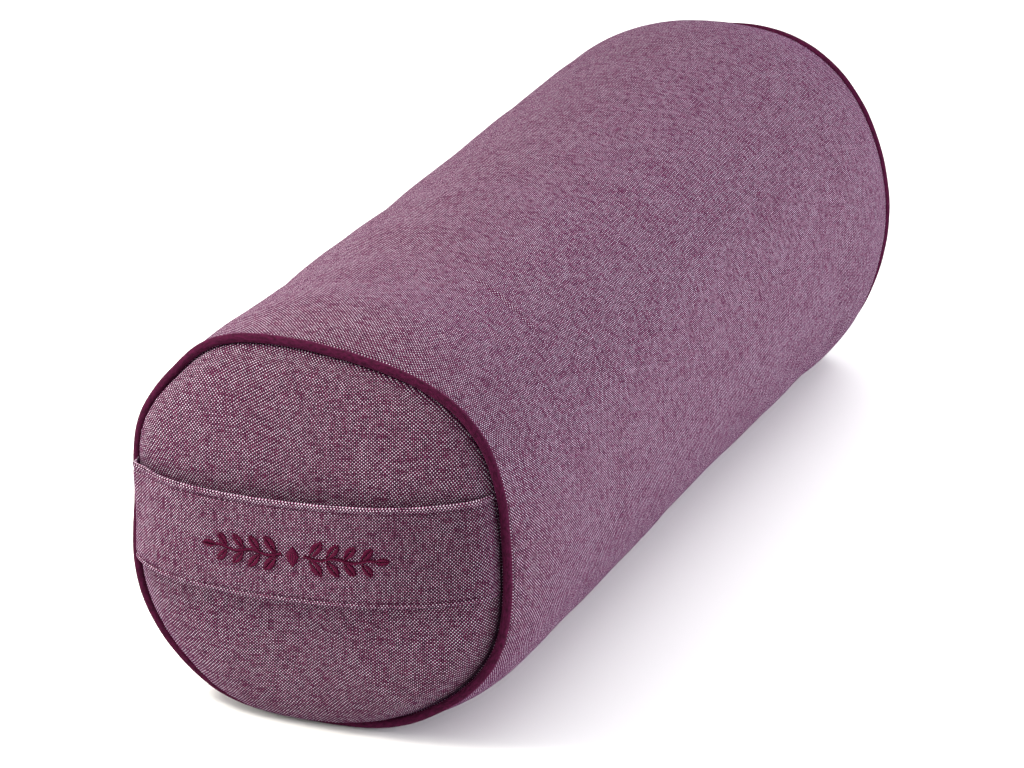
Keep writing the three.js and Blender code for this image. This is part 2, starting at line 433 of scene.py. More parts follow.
def lofted(name, grid, weave, bake, ends=(None, None)):
    """A closed tube over rows of points.

    grid has rows by columns of points in mm. weave and bake have one more column, for where the
    tube closes on itself. ends hold the two maps' middles where an end is filled from a middle
    point, "between" where the map runs round that point, or None where rows close in a ring.
    """
    rows, columns = grid.shape[:2]
    points = (grid.reshape(-1, 3) * MM + in_frame()).tolist()
    ringed = ends[0] is None
    row, column = np.divmod(np.arange((rows if ringed else rows - 1) * columns), columns)
    corners = [(row, column), (row + 1, column), (row + 1, column + 1), (row, column + 1)]
    places = np.array(corners).transpose(2, 0, 1)
    faces = (places[..., 0] % rows * columns + places[..., 1] % columns).tolist()
    told = [[m[places[..., 0], places[..., 1]].reshape(-1, 2)] for m in (weave, bake)]
    for end, row, inner in () if ringed else ((0, 0, 1), (1, rows - 1, rows - 2)):
        points.append((grid[row].mean(0) * MM + in_frame()).tolist())
        turn = np.array([np.arange(columns), np.arange(columns) + 1])
        turn = turn[::-1] if end else turn
        middle = np.full(columns, len(points) - 1)
        faces += np.stack([middle, *(row * columns + turn % columns)], -1).tolist()
        for number, m in enumerate((weave, bake)):
            a, b = m[row, turn[0]], m[row, turn[1]]
            if ends[end] == "between":
                centre = (a + b) / 2 + (a - m[inner, turn[0]]) * [0, 1]
            else:
                centre = np.broadcast_to(ends[end][number], a.shape)
            told[number].append(np.stack([centre, a, b], 1).reshape(-1, 2))
    weave, bake = (np.concatenate(kept) for kept in told)
    return made_mesh(name, points, faces, {"Weave": weave * MM, "OFBake": bake})


def placed(name, data):
    piece = bpy.data.objects.new(name, data)
    bpy.context.scene.collection.objects.link(piece)
    return piece


def mark_wear_and_painted_light(piece, values):
    """Above 0 pale threads are rubbed up, partly as a painted highlight, and below 0 the cloth
    is darkened as painted shade.
    """
    layer = piece.data.attributes.new(WEAR_AND_PAINTED_LIGHT, "FLOAT", "POINT")
    layer.data.foreach_set("value", np.append(values, [0, 0]).astype(np.float32))


def finish_piece(piece, material, slot, *nodes):
    piece.data.materials.append(material)
    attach(piece, BODY)
    if nodes:
        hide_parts(*nodes)
    return piece


def spread_out(across, down):
    """A map's places over columns and rows."""
    return np.stack(np.meshgrid(across, down), -1)


def steps_between(start, stop, first, last):
    """Places from start to stop whose spacing grows or shrinks from first to last."""
    count = max(2, round((stop - start) / ((first + last) / 2)))
    share = np.linspace(0, 1, count + 1)
    eased = share * first + share**2 * (last - first) / 2
    return start + (stop - start) * eased / eased[-1]


def along_rows(grid):
    """Lengths down the first column of a grid, from its first row."""
    steps = np.linalg.norm(np.diff(grid[:, 0], axis=0), axis=-1)
    return np.concatenate([[0], np.cumsum(steps)])


def map_places(down, low, high):
    """Lengths down the rows of a mesh, as places from low to high on a map."""
    return low + (high - low) * down / down[-1]


def threads(name, paths, thickness, sides=5):
    """Short threads as tapered tubes; each path is an array of points in metres."""
    points, faces, corners = [], [], []
    for path in paths:
        path = np.asarray(path)
        count = len(path)
        start = len(points)
        for step, place in enumerate(path):
            before, after = path[max(step - 1, 0)], path[min(step + 1, count - 1)]
            run = Vector(after - before).normalized()
            side = run.orthogonal().normalized()
            over = run.cross(side)
            share = 2 * step / (count - 1) - 1
            size = thickness * math.sqrt(max(0.12, 1 - share**6))
            for turn in range(sides):
                angle = 2 * math.pi * turn / sides
                outward = side * math.cos(angle) + over * math.sin(angle)
                points.append(Vector(place) + size * outward)
        for step in range(count - 1):
            for turn in range(sides):
                a = start + step * sides + turn
                b = start + step * sides + (turn + 1) % sides
                faces.append((a, b, b + sides, a + sides))
                (u, v), (on, over) = (step / count, turn / sides), (1 / count, 1 / sides)
                corners += [(u, v), (u, v + over), (u + on, v + over), (u + on, v)]
        faces.append(tuple(start + turn for turn in reversed(range(sides))))
        faces.append(tuple(start + (count - 1) * sides + turn for turn in range(sides)))
        corners += [(0, turn / sides) for turn in range(2 * sides)]
    return made_mesh(name, points, faces, {"Weave": np.array(corners)})


# Materials


WEAR_AND_PAINTED_LIGHT = "wear_and_painted_light"


class Wiring:
    """Adds nodes to a material and joins them."""

    def __init__(self, name):
        self.material = bpy.data.materials.new(name)
        self.material.use_nodes = True
        self.tree = self.material.node_tree
        self.shader = self.tree.nodes["Principled BSDF"]

    def join(self, source, target):
        if isinstance(source, bpy.types.NodeSocket):
            self.tree.links.new(source, target)
        else:
            target.default_value = source

    def feed(self, node, sources):
        for key, source in sources.items():
            self.join(source, node.inputs[key])

    def add(self, kind, sources=None, **settings):
        """A node with its settings; sources are links or numbers for its sockets."""
        node = self.tree.nodes.new("ShaderNode" + kind)
        for key, value in settings.items():
            setattr(node, key, value)
        self.feed(node, sources or {})
        return node

    def maths(self, operation, first, second=0.0):
        return self.add("Math", {0: first, 1: second}, operation=operation).outputs[0]

    def plus(self, first, second):
        return self.maths("ADD", first, second)

    def times(self, first, second):
        return self.maths("MULTIPLY", first, second)

    def ramp(self, value, low, high, to_low=0.0, to_high=1.0, smooth=False):
        sources = dict(enumerate((value, low, high, to_low, to_high)))
        easing = "SMOOTHSTEP" if smooth else "LINEAR"
        return self.add("MapRange", sources, interpolation_type=easing).outputs[0]

    def mix(self, share, first, second):
        node = self.add("Mix", {0: share}, data_type="RGBA")
        for key, colour in (("A", first), ("B", second)):
            socket = next(s for s in node.inputs if s.name == key and s.type == "RGBA")
            linked = isinstance(colour, bpy.types.NodeSocket)
            self.join(colour if linked else (*colour, 1.0), socket)
        return next(s for s in node.outputs if s.type == "RGBA")

    def cloud(self, across, along, scale, detail=2.0, roughness=0.5):
        """Noise over two coordinates."""
        place = self.add("CombineXYZ", {0: across, 1: along}).outputs[0]
        sources = {"Vector": place, "Scale": scale, "Detail": detail, "Roughness": roughness}
        return self.add("TexNoise", sources, noise_dimensions="2D").outputs["Fac"]

    def bump(self, height, distance, strength):
        sources = {"Height": height, "Distance": distance, "Strength": strength}
        self.feed(self.shader, {"Normal": self.add("Bump", sources).outputs[0]})

    def coordinates(self):
        uv = self.add("UVMap", uv_map="Weave").outputs[0]
        parts = self.add("SeparateXYZ", {0: uv})
        return parts.outputs[0], parts.outputs[1]

    def finish(self, colour, roughness, gloss, sheen=0.0, sheen_spread=0.5, tint=(1, 1, 1)):
        sources = {
            "Base Color": colour,
            "Roughness": roughness,
            "Specular IOR Level": gloss,
            "Sheen Weight": sheen,
            "Sheen Roughness": sheen_spread,
            "Sheen Tint": (*tint, 1.0),
        }
        self.feed(self.shader, sources)
        return self.material


def made_once(make):
    """A material is made at its first use, under the name of the function that makes it."""

    def material():
        made = bpy.data.materials.get(make.__name__)
        return made or make(Wiring(make.__name__), bpy.context.scene.bolster_colours)

    return material


# The canvas: how far its threads wander and how high they stand in m, how much streaks, patches
# and clouds count in its heather, and what a rubbed place, partly a painted highlight, adds to
# the heather and to what shows
THREAD_WANDER = 0.00022
WEAVE_RELIEF = 0.00022
HEATHER = (0.42, 0.46, 0.12)
WEAR_AND_HIGHLIGHT_HEATHER = 0.12
WEAR_AND_HIGHLIGHT_SHOWN = 0.14

# The piping's cloth: the pitch of its threads and its relief, in m
FINE_PITCH = 0.00042
FINE_RELIEF = 0.00015


@made_once
def heathered_canvas(w, colours):
    """Plain weave of plum and pale threads, each uneven along its length."""
    a_thread = 1 / bpy.context.scene.bolster_sizes.thread_pitch
    across, along = w.coordinates()

    aside = w.ramp(w.cloud(across, along, 85.0), 0.25, 0.75, -THREAD_WANDER, THREAD_WANDER)
    ahead = w.ramp(w.cloud(along, across, 78.0), 0.25, 0.75, -THREAD_WANDER, THREAD_WANDER)
    weft = w.times(w.plus(across, aside), a_thread)
    warp = w.times(w.plus(along, ahead), a_thread)
    crossing = w.times(
        w.maths("SINE", w.times(weft, math.pi)), w.maths("SINE", w.times(warp, math.pi))
    )

    # Streaks along single threads, patches of a few threads, and clouds over the cloth
    pale_streak = w.cloud(w.times(weft, 0.12), warp, 1.0, 1.0)
    plum_streak = w.cloud(weft, w.times(warp, 0.12), 1.0, 1.0)
    patch = w.cloud(across, along, 330.0, 2.0, 0.6)
    clouds = w.cloud(across, along, 40.0, 3.0, 0.55)
    streaked, patched, clouded = HEATHER
    heather = w.plus(
        w.times(pale_streak, streaked),
        w.plus(w.times(patch, patched), w.times(clouds, clouded)),
    )
    # Above 0 the attribute paints pale wear with a painted highlight, and below 0 it paints
    # shade.
    wear_and_painted_light = w.add("Attribute", attribute_name=WEAR_AND_PAINTED_LIGHT).outputs["Fac"]
    wear_and_highlight = w.maths("MAXIMUM", wear_and_painted_light, 0.0)
    heather = w.plus(heather, w.times(wear_and_highlight, WEAR_AND_HIGHLIGHT_HEATHER))
    shown = w.plus(crossing, w.times(wear_and_highlight, WEAR_AND_HIGHLIGHT_SHOWN))

    pale = w.mix(w.ramp(heather, 0.36, 0.60, 0.15, 1.0), colours.red_slub, colours.pale_thread)
    plum = w.mix(w.ramp(plum_streak, 0.3, 0.7), colours.plum_thread, colours.red_slub)
    plum_shown = w.ramp(shown, -0.50, 0.02, 1.0, 0.0, smooth=True)
    cloth = w.mix(plum_shown, colours.between_threads, plum)
    cloth = w.mix(w.ramp(shown, 0.26, 0.72, smooth=True), cloth, pale)
    # Painted shade: below 0 the cloth darkens towards the colour between threads.
    painted_shade = w.ramp(wear_and_painted_light, -1.0, 0.0, 0.96, 0.0)
    cloth = w.mix(painted_shade, cloth, colours.between_threads)

    thread_form = w.maths("POWER", w.maths("ABSOLUTE", crossing), 0.7)
    w.bump(w.plus(thread_form, w.times(heather, 0.5)), WEAVE_RELIEF, 0.6)
    return w.finish(cloth, 0.92, 0.02, 0.08, 0.45, colours.sheen)


@made_once
def piping_cloth(w, colours):
    """Fine, close cloth cut on the bias and drawn over the cord."""
    across, along = w.coordinates()
    first = w.times(w.plus(across, along), math.pi / FINE_PITCH)
    second = w.times(w.maths("SUBTRACT", across, along), math.pi / FINE_PITCH)
    crossing = w.times(w.maths("SINE", first), w.maths("SINE", second))
    drawn = w.cloud(w.times(across, 0.5), along, 650.0, 4.0, 0.7)
    shade = w.plus(w.times(crossing, 0.15), w.ramp(drawn, 0.3, 0.7, 0.15, 0.9))
    w.bump(w.plus(w.times(crossing, 0.3), drawn), FINE_RELIEF, 0.6)
    colour = w.mix(shade, colours.piping_dark, colours.piping)
    return w.finish(colour, 0.85, 0.05, 0.12, 0.35, (0.9, 0.2, 0.55))


def twisted_thread(w, lighter, darker, roughness):
    """Sewing or embroidery thread with the lines of its twist."""
    across, along = w.coordinates()
    twist = w.maths("SINE", w.times(w.plus(w.times(across, 7.0), along), 2 * math.pi))
    w.bump(twist, 0.00005, 0.5)
    colour = w.mix(w.ramp(twist, -1.0, 1.0, 0.25, 1.0), darker, lighter)
    return w.finish(colour, roughness, 0.07)


@made_once
def topstitch_thread(w, colours):
    return twisted_thread(w, colours.topstitch, colours.plum_thread, 0.6)


@made_once
def embroidery_thread(w, colours):
    return twisted_thread(w, colours.embroidery, colours.piping_dark, 0.42)


# Settings that a user would change


def distance(name, description, default, low, high):
    shown = {"name": name, "description": description, "subtype": "DISTANCE"}
    return FloatProperty(default=default, min=low, max=high, **shown)


class BolsterSizes(PropertyGroup):
    """Sizes of the sewn pieces."""

    piping_radius: distance(
        "Piping radius", "Radius of the covered cord in each end seam", 0.0025, 0.001, 0.006
    )
    cloth_thickness: distance(
        "Cloth thickness", "Thickness of the end panels", 0.0016, 0.0005, 0.004
    )
    thread_pitch: distance(
        "Thread pitch", "From one thread of the canvas to the next", 0.0009, 0.0002, 0.004
    )
    band_width: distance("Band width", "Width of the carrying band", 0.0545, 0.03, 0.08)
    band_thickness: distance(
        "Band thickness", "Thickness of the folded band", 0.0024, 0.001, 0.005
    )
    band_slack: distance(
        "Band slack", "How far the band stands off the end panel", 0.0065, 0.0, 0.012
    )
    band_droop: distance(
        "Band droop", "How far the band hangs below its sewn ends", 0.0051, 0.0, 0.02
    )
    band_left: distance(
        "Left end height", "Height of the middle of the band's left end", 0.1078, 0.05, 0.16
    )
    band_right: distance(
        "Right end height", "Height of the middle of the band's right end", 0.1176, 0.05, 0.16
    )
    stitch_length: distance(
        "Stitch length", "One topstitch with the gap after it", 0.0034, 0.001, 0.008
    )
    steps_round: IntProperty(
        name="Steps round",
        description="Columns of the long panel's mesh round the bolster",
        default=320,
        min=64,
        max=400,
    )


def colour(name, description, default):
    return FloatVectorProperty(
        name=name, description=description, default=default, subtype="COLOR", size=3
    )


class BolsterColours(PropertyGroup):
    """Colours of cloth and thread."""

    pale_thread: colour("Pale thread", "Off-white thread of the canvas", (0.55, 0.445, 0.54))
    plum_thread: colour("Plum thread", "Dark thread of the canvas", (0.042, 0.005, 0.026))
    red_slub: colour("Red slub", "Uneven places in the threads", (0.105, 0.010, 0.045))
    between_threads: colour("Between threads", "Shade between threads", (0.003, 0.0005, 0.002))
    sheen: colour("Sheen", "Tint of the cloth seen at a slant", (0.62, 0.10, 0.62))
    piping: colour("Piping", "Cloth over the piping cord", (0.062, 0.005, 0.027))
    piping_dark: colour("Piping shade", "Darker threads of the piping", (0.010, 0.001, 0.005))
    embroidery: colour("Embroidery", "Glossy embroidery thread", (0.100, 0.002, 0.030))
    topstitch: colour("Topstitch", "Sewing thread", (0.045, 0.006, 0.022))


# Pieces

# The long panel: about half of its way round in mm, the rows of its mesh over the filling as
# shares of the crown, those of its turned edge as rise and inward in mm, those of its length
# as where they start and stop and their first and last spacing in mm
HALF_GIRTH = 350.0
DOME_ROWS = np.array([0.12, 0.3, 0.48, 0.64, 0.77, 0.87, 0.94, 0.98, 0.99, 0.995])
EDGE_RISE = (-5.4, -4.0, -3.0, -1.9, -0.9, 0.1, 0.75)
EDGE_INWARD = (0.4, 0.9, 1.6, 2.35, 2.8, 3.0, 3.35)
ROWS_BY_SEAM = (4.2, 60.0, 1.2, 2.4)
ROWS_TO_MIDDLE = (60.0, HALF_LENGTH, 2.4, 3.6)
PANEL_LUMPS = ((0.85, 62.0, 1.3), (0.35, 24.0, 7.7))
PANEL_LUMPS_FADE = 14.0
CREASE_RIDGE = 0.55
CREASE_RIDGE_AT = 1.9


class BOLSTER_OT_long_panel(Operator):
    """Make the long panel with its filling"""

    bl_idname = "bolster.long_panel"
    bl_label = "Long panel"

    def execute(self, context):
        columns = context.scene.bolster_sizes.steps_round
        turn = np.arange(columns) * 2 * np.pi / columns - np.pi / 2
        grid = np.concatenate(
            [self.half(NEAR_SEAM, turn), self.half(FAR_SEAM, turn)[::-1][1:]]
        )
        down = along_rows(grid)
        whole_turn = np.arange(columns + 1) / columns
        pitch = in_mm("thread_pitch")
        girth = 2 * round(HALF_GIRTH / pitch) * pitch
        weave = spread_out(whole_turn * girth, down)
        bake = spread_out(whole_turn, map_places(down, 0.02, 0.98))
        piece = lofted(
            "long_panel_cloth", grid[:, ::-1], weave, bake, ("between", "between")
        )
        finish_piece(piece, heathered_canvas(), "canvas", "filled_body")
        return {"FINISHED"}

    def half(self, seam, turn):
        """Rows from the middle of one end to the middle of the length."""
        depth = in_mm("cloth_thickness") + GAP_UNDER_PANEL
        rows = [crown_point(seam, DOME_ROWS[:, None], turn[None, :], depth)]
        for rise, inward in zip(EDGE_RISE, EDGE_INWARD):
            rows.append(beside_seam(seam, turn, rise, inward)[None])
        by_seam, to_middle = steps_between(*ROWS_BY_SEAM), steps_between(*ROWS_TO_MIDDLE)
        inward = np.concatenate([by_seam[:-1], to_middle])[:, None]
        angle = turn[None, :]
        panel = panel_point(seam, inward, angle)
        y = panel[..., 1]
        lying = above_floor(panel[..., 2], LYING)
        fade = 1 - np.exp(-inward / PANEL_LUMPS_FADE)
        shift = gathers(seam, angle, inward) + lumps(panel, PANEL_LUMPS) * fade
        for place, slant, depth_mm, width, toward, arc in CREASES:
            apart = np.angle(np.exp(1j * (angle - np.radians(toward))))
            line = place + slant * apart / np.radians(arc)
            across = (y - line) / width
            fold = hump(across, 0, 1) - CREASE_RIDGE * hump(across, CREASE_RIDGE_AT, 1)
            shift = shift - depth_mm * fold * towards(angle, toward, arc)
        outward = outward_at(np.broadcast_to(angle, y.shape))
        panel = panel + outward * (shift * lying)[..., None]
        panel[..., 2] = np.maximum(panel[..., 2], 0)
        rows.append(panel)
        return np.concatenate(rows)


# The end panels: the innermost and outermost rows as shares of the crown, the puckers by the
# seam and the painted shade in it as depths and lengths in mm, and the two discs on the baked
# map
END_COLUMNS = 300
END_ROWS = 54
INNERMOST = 0.03
OUTERMOST = 0.9996
BACK_ROWS = 3
PUCKER_DEPTH = 0.8
PUCKER_START = 1.2
PUCKER_FADE = 9.0
PUCKER_SIZE = (8.0, 22.0)
END_LUMPS = ((0.7, 48.0, 2.2), (0.25, 17.0, 6.1))
END_LUMPS_FADE = 16.0
PAINTED_SHADE_ALL_ROUND = 0.15
SEAM_SHADE = 0.9
SEAM_SHADE_WIDTH = 2.2
VALLEY_SHADE = 0.3
VALLEY_SHADE_FADE = 6.0
DISC_ON_MAP = 0.245
FACE_ON_MAP = (0.25, 0.5)
BACK_ON_MAP = (0.75, 0.5)


class BOLSTER_OT_end_panels(Operator):
    """Make the crowned panel of each end"""

    bl_idname = "bolster.end_panels"
    bl_label = "End panels"

    def execute(self, context):
        for seam, name, node in (
            (NEAR_SEAM, "near_end_panel_cloth", "near_cap"),
            (FAR_SEAM, "far_end_panel_cloth", "far_cap"),
        ):
            piece = self.panel(seam, name)
            finish_piece(piece, heathered_canvas(), "canvas", node)
        return {"FINISHED"}

    def panel(self, seam, name):
        turn = np.arange(END_COLUMNS) * 2 * np.pi / END_COLUMNS
        share = np.sin(np.linspace(INNERMOST, 1, END_ROWS) * np.pi / 2)
        share = np.concatenate([share[:-1], [OUTERMOST]])[:, None]
        angle = turn[None, :]
        face = crown_point(seam, share, angle, 0)
        from_edge = (1 - share) * seam.radius
        rim = np.exp(-from_edge / PUCKER_FADE) * (1 - np.exp(-from_edge / PUCKER_START))
        puckers = unevenness(round_places(angle, from_edge, *PUCKER_SIZE), 1.0, 5.0)
        broad = lumps(face, END_LUMPS) * (1 - np.exp(-from_edge / END_LUMPS_FADE))
        face[..., 1] += seam.outward * (PUCKER_DEPTH * puckers * rim + broad)
        share_back = share[::-BACK_ROWS]
        back = crown_point(seam, share_back, angle, in_mm("cloth_thickness"))
        grid = np.concatenate([face, back])
        spread = along_rows(face) + np.linalg.norm(
            face[0, 0] - [0, face[0, 0, 1], seam.height]
        )
        whole = np.append(turn, 2 * np.pi)
        circle = np.stack([np.cos(whole), np.sin(whole)], -1)
        weave_face = spread[:, None, None] * circle
        weave_back = (spread[-1] * share_back[:, 0])[:, None, None] * circle
        weave = np.concatenate([weave_face, weave_back])
        size = DISC_ON_MAP / spread[-1]
        on_map = (weave_face * size + FACE_ON_MAP, weave_back * size * 0.98 + BACK_ON_MAP)
        bake = np.concatenate(on_map)
        middles = (((0, 0), FACE_ON_MAP), ((0, 0), BACK_ON_MAP))
        # Painted shade beside the seam all round, stronger where the panel has valleys.
        shade = SEAM_SHADE * hump(from_edge, 0, SEAM_SHADE_WIDTH)
        shade = shade + VALLEY_SHADE * np.exp(-from_edge / VALLEY_SHADE_FADE)
        painted_shade = (PAINTED_SHADE_ALL_ROUND + depth_of(seam.valleys, angle)) * shade
        wear_and_painted_light = np.concatenate([-painted_shade, np.zeros(back.shape[:2])])
        if seam.outward > 0:
            grid, weave, bake, wear_and_painted_light = (m[:, ::-1] for m in (grid, weave, bake, wear_and_painted_light))
        piece = lofted(name, grid, weave, bake, middles)
        mark_wear_and_painted_light(piece, wear_and_painted_light)
        return piece


# The piping: how it wanders outward and along Y, as a depth and a length in mm and a seed, and
# the crinkles of its cover as a length in mm and a share of its size
PIPING_SIDES = 16
PIPING_COLUMNS = 640
PIPING_WANDER = (0.35, 16.0, 4.4)
PIPING_SWAY = (0.3, 21.0, 8.8)
CRINKLE_LENGTH = 3.2
CRINKLE = 0.03


class BOLSTER_OT_piping(Operator):
    """Make the covered cord in each end seam"""

    bl_idname = "bolster.piping"
    bl_label = "Piping"

    def execute(self, context):
        for seam, name, node in (
            (NEAR_SEAM, "near_piping_cover", "near_piping"),
            (FAR_SEAM, "far_piping_cover", "far_piping"),
        ):
            piece = self.cover(seam, name)
            finish_piece(piece, piping_cloth(), "piping", node)
        return {"FINISHED"}

    def cover(self, seam, name):
        radius = in_mm("piping_radius")
        turn = np.arange(PIPING_COLUMNS) * 2 * np.pi / PIPING_COLUMNS - np.pi / 2
        side = (np.arange(PIPING_SIDES) * 2 * np.pi / PIPING_SIDES)[:, None]
        angle = turn[None, :]
        places = round_places(angle, side * 1.5, CRINKLE_LENGTH, 1.0)
        size = radius * (1 - CRINKLE / 2 + CRINKLE * unevenness(places, 1.0, 2.0))
        lying = above_floor(beside_seam(seam, angle, 0, 0)[..., 2], PIPING_LYING)
        rise = size * np.cos(side) + self.stray(turn, *PIPING_WANDER) * lying
        inward = size * np.sin(side) + self.stray(turn, *PIPING_SWAY) * lying
        grid = beside_seam(seam, angle, rise, inward)
        girth = 2 * np.pi * seam.radius
        whole = np.arange(PIPING_COLUMNS + 1) / PIPING_COLUMNS
        around = np.arange(PIPING_SIDES + 1) / PIPING_SIDES
        weave = spread_out(whole * girth, around * 2 * np.pi * radius)
        bake = spread_out(whole, around)
        if seam.outward < 0:
            grid = grid[:, ::-1]
        return lofted(name, grid, weave, bake)

    def stray(self, turn, depth, length, seed):
        return depth * unevenness(round_places(turn, 0 * turn, length, 1.0), 1.0, seed)


# The band: its rows, its stitched grooves and folds as places and widths from its edge in mm,
# its unevenness as a depth and a size in mm and a seed, and its ends where they tuck in
BAND_ROWS = 190
BAND_STOP = 0.999
ROLLED_STEPS = 6
BAND_SPACING = (1.8, 0.3)
STITCH_INSET = 3.4
GROOVE_WIDTH = 0.9
GROOVE_SHARE = 0.45
FOLD_INSET = 1.4
FOLD_WIDTH = 1.2
FOLD_DEPTH = 0.35
PUCKERED = (0.22, 3.6, 3.3)
PUCKERED_WIDTH = 3.0
BAND_LUMPS = (0.35, 26.0, 8.1)
EDGE_WOBBLE = (0.010, 14.0, 6.6)
TUCK_STARTS = (101.5, 99.0)
TUCK_SINK = 0.9
TUCK_THINNER = 0.75

# Where the band's folds are rubbed pale, partly as a painted highlight, and where painted shade
# lies under the lower fold, as a strength and then places and widths in mm, and how much
# painted shade darkens it towards its right end and where it is sewn in
WEAR_AND_HIGHLIGHT_WIDTH = 0.9
WEAR_AND_HIGHLIGHT_PATCHES = (0.8, 7.0, 1.9)
LOWER_WEAR_AND_HIGHLIGHT = (0.5, 1.5, 0.6)
LOWER_SHADE = (0.7, 0.7)
RIGHT_SHADE = (0.2, 15.0, 45.0)
SEWN_SHADE = (0.5, 2.5)


class BOLSTER_OT_carrying_band(Operator):
    """Make the folded band that is sewn across the near end"""

    bl_idname = "bolster.carrying_band"
    bl_label = "Carrying band"

    def execute(self, context):
        half_width = in_mm("band_width") / 2
        half_thick = in_mm("band_thickness") / 2
        along = np.sin(np.linspace(-1, 1, BAND_ROWS) * np.pi / 2 * BAND_STOP)[:, None]
        rolled = np.linspace(0, np.pi / 2, ROLLED_STEPS)[1:]
        edge = half_width - half_thick + half_thick * np.sin(rolled)
        beside = steps_between(0, half_width - half_thick, *BAND_SPACING)
        across = np.concatenate([beside, edge])
        across = np.concatenate([-across[:0:-1], across])
        bulge = np.concatenate([np.ones(len(beside)), np.cos(rolled)])
        bulge = np.concatenate([bulge[:0:-1], bulge])
        face = across[None, :] / half_width
        inside = half_width - np.abs(across)[None, :]
        along_mm = along * BAND_REACH
        place = np.broadcast_arrays(along_mm, across[None, :], 0 * along_mm * face)
        place = np.stack(place, -1)
        groove = GROOVE_SHARE * hump(inside, STITCH_INSET, GROOVE_WIDTH)
        fold = FOLD_DEPTH * hump(inside, FOLD_INSET, FOLD_WIDTH)
        half = bulge * (half_thick * (1 - groove) + fold)
        pucker = lumps(place * [1.0, 0.45, 1.0], [PUCKERED])
        pucker = pucker * hump(inside, STITCH_INSET, PUCKERED_WIDTH)
        broad = lumps(place, [BAND_LUMPS]) * (1 - along**8)
        end = np.where(along < 0, *TUCK_STARTS)
        tuck = np.clip((np.abs(along_mm) - end) / (BAND_REACH - end), 0, 1)
        lift = pucker + broad - TUCK_SINK * tuck
        thinner = half * (1 - TUCK_THINNER * tuck)
        outer_off = half_thick + thinner + lift
        inner_off = half_thick - thinner + lift
        wobble = lumps(place * [1.0, 0.0, 1.0], [EDGE_WOBBLE])
        outer = band_point(along, face + wobble, outer_off)
        inner = band_point(along, (face + wobble)[:, 1:-1], inner_off[:, 1:-1])
        grid = np.concatenate([outer, inner[:, ::-1]], axis=1)

        down = along_rows(outer[:, len(beside)][:, None])
        span = across - across[0]
        around = np.concatenate([span, 2 * span[-1] - span[1:-1][::-1], [2 * span[-1]]])
        weave = spread_out(around, down)
        bake = spread_out(around / around[-1], map_places(down, 0.03, 0.97))
        piece = lofted("carrying_band_cloth", grid, weave, bake, ("between", "between"))
        wear_and_painted_light = self.wear_and_painted_light(place, along, face, inside)
        mark_wear_and_painted_light(piece, np.concatenate([wear_and_painted_light, wear_and_painted_light[:, 1:-1][:, ::-1]], axis=1))
        finish_piece(piece, heathered_canvas(), "canvas", "handle_band")
        return {"FINISHED"}

    def wear_and_painted_light(self, place, along, face, inside):
        """The upper fold is rubbed pale, partly as a painted highlight, most on the right, and
        the lower one less; painted shade lies on the lower fold's edge and darkens the band
        towards its right end.
        """
        patchy = 0.7 + lumps(place, [WEAR_AND_HIGHLIGHT_PATCHES])
        # Pale wear on the upper fold, partly a painted highlight.
        fold_wear_and_highlight = hump(np.maximum(0, inside - WEAR_AND_HIGHLIGHT_WIDTH), 0, WEAR_AND_HIGHLIGHT_WIDTH)
        upper = np.clip(fold_wear_and_highlight * np.clip(1.0 + 0.9 * along, 0.35, 1.0) * patchy, 0, 1)
        pale, inset, width = LOWER_WEAR_AND_HIGHLIGHT
        lower = pale * hump(inside, inset, width) * patchy
        # Painted shade on the lower fold's edge.
        depth, width = LOWER_SHADE
        lower = lower - depth * hump(inside, 0, width)
        # Painted shade towards the right end and where the band is sewn in.
        shade, start, rise = RIGHT_SHADE
        along_mm = along * BAND_REACH
        painted_end_shade = shade * np.clip((along_mm - start) / rise, 0, 1)
        shade, fade = SEWN_SHADE
        painted_end_shade = painted_end_shade + shade * np.exp((along_mm - BAND_REACH) / fade)
        return np.where(face > 0, upper, lower) - painted_end_shade


def on_band(p, q, lift):
    """Points over the band's face in metres: p and q in mm along and across it."""
    along = np.asarray(p, float) / BAND_REACH
    across = np.asarray(q, float) / (in_mm("band_width") / 2)
    point = band_point(along, across, in_mm("band_thickness") + lift)
    return point * MM + in_frame()


# The topstitching: how far along the band it runs, the arch of a stitch and its thread
STITCHED_TO = 98.0
STITCH_SHARE = 0.86
STITCH_ARCH = np.array([-0.75, -0.4, -0.3, -0.3, -0.4, -0.75])
STITCH_THREAD = 0.00024


class BOLSTER_OT_topstitching(Operator):
    """Make the two rows of topstitching along the band"""

    bl_idname = "bolster.topstitching"
    bl_label = "Topstitching"

    def execute(self, context):
        pitch = in_mm("stitch_length")
        paths = []
        for side in (-1, 1):
            q = side * (in_mm("band_width") / 2 - STITCH_INSET)
            for count in range(int(2 * STITCHED_TO / pitch)):
                start = -STITCHED_TO + count * pitch
                p = np.linspace(start, start + pitch * STITCH_SHARE, len(STITCH_ARCH))
                paths.append(on_band(p, np.full(len(p), q), STITCH_ARCH))
        piece = threads("band_topstitching", paths, STITCH_THREAD)
        finish_piece(piece, topstitch_thread(), "piping")
        return {"FINISHED"}


# The sprig, in mm: where its stem runs, its leaves, and the spacing of its threads
SPRIG_DROP = 1.5
STEM = (6.5, 45.0, 0.40)
STEM_HALF = (0.5, 0.95)
STEM_BEND = 0.9
LEAF_PAIRS = 4
FIRST_LEAF = 9.0
LEAF_STEP = 9.6
LEAF_LENGTH = (11.2, 0.7)
LAST_LEAF = (44.0, 8.5)
LEAF_LEAN = 50
LEAF_WIDTH = 0.26
LEAF_SPACING = 0.38
LOZENGE_HALF = 6.0
EMBROIDERY_THREAD = 0.00021


